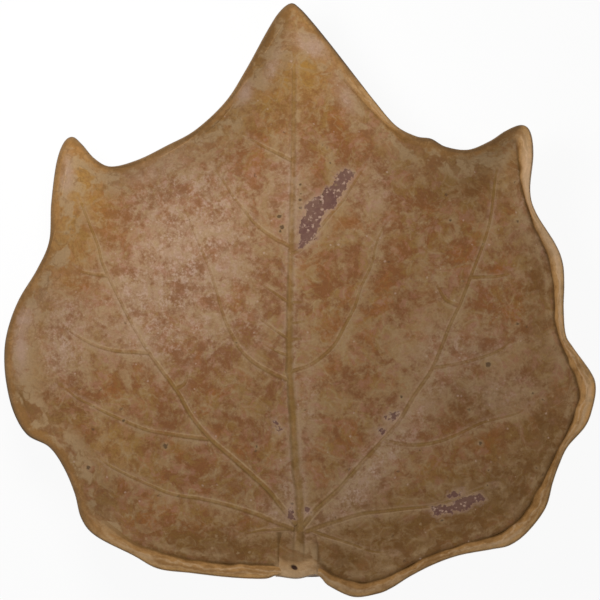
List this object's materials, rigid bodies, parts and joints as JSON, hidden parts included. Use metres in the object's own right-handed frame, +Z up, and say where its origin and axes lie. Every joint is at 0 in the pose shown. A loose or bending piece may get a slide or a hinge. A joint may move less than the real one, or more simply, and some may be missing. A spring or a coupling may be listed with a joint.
{
  "type": "leaf shaped plate",
  "caption": "Shallow stoneware plate shaped as a broad lobed leaf, with a raised wavy margin, a rolled lip, a stem stub and raised leaf veins under a mottled brown glaze",
  "frame": {"origin": "on the table plane z = 0, under the centre of the leaf's outline", "axes": "+X to the leaf's right as seen from above, +Y to the leaf's tip, +Z up"},
  "size_m": [0.25, 0.251, 0.0303],
  "materials": {
    "mottled_glaze": "satin gloss glaze, mottled tan, olive and rusty brown over purple brown stoneware",
    "ochre_glaze": "satin gloss ochre glaze, thin over the edge",
    "vein_glaze": "satin gloss ochre glaze, thin over the crest"
  },
  "bodies": {
    "root": {"leaf_slab": "mottled_glaze", "rim_lip": "ochre_glaze", "stem_stub": "ochre_glaze", "midrib": "vein_glaze", "main_vein_left": "vein_glaze", "main_vein_right": "vein_glaze", "basal_vein_left": "vein_glaze", "basal_vein_right": "vein_glaze", "lower_vein_left": "vein_glaze", "lower_vein_right": "vein_glaze", "branch_veins_left": "vein_glaze", "branch_veins_right": "vein_glaze", "midrib_veins_left": "vein_glaze", "midrib_veins_right": "vein_glaze", "fine_veins": "vein_glaze"}
  },
  "joints": []
}
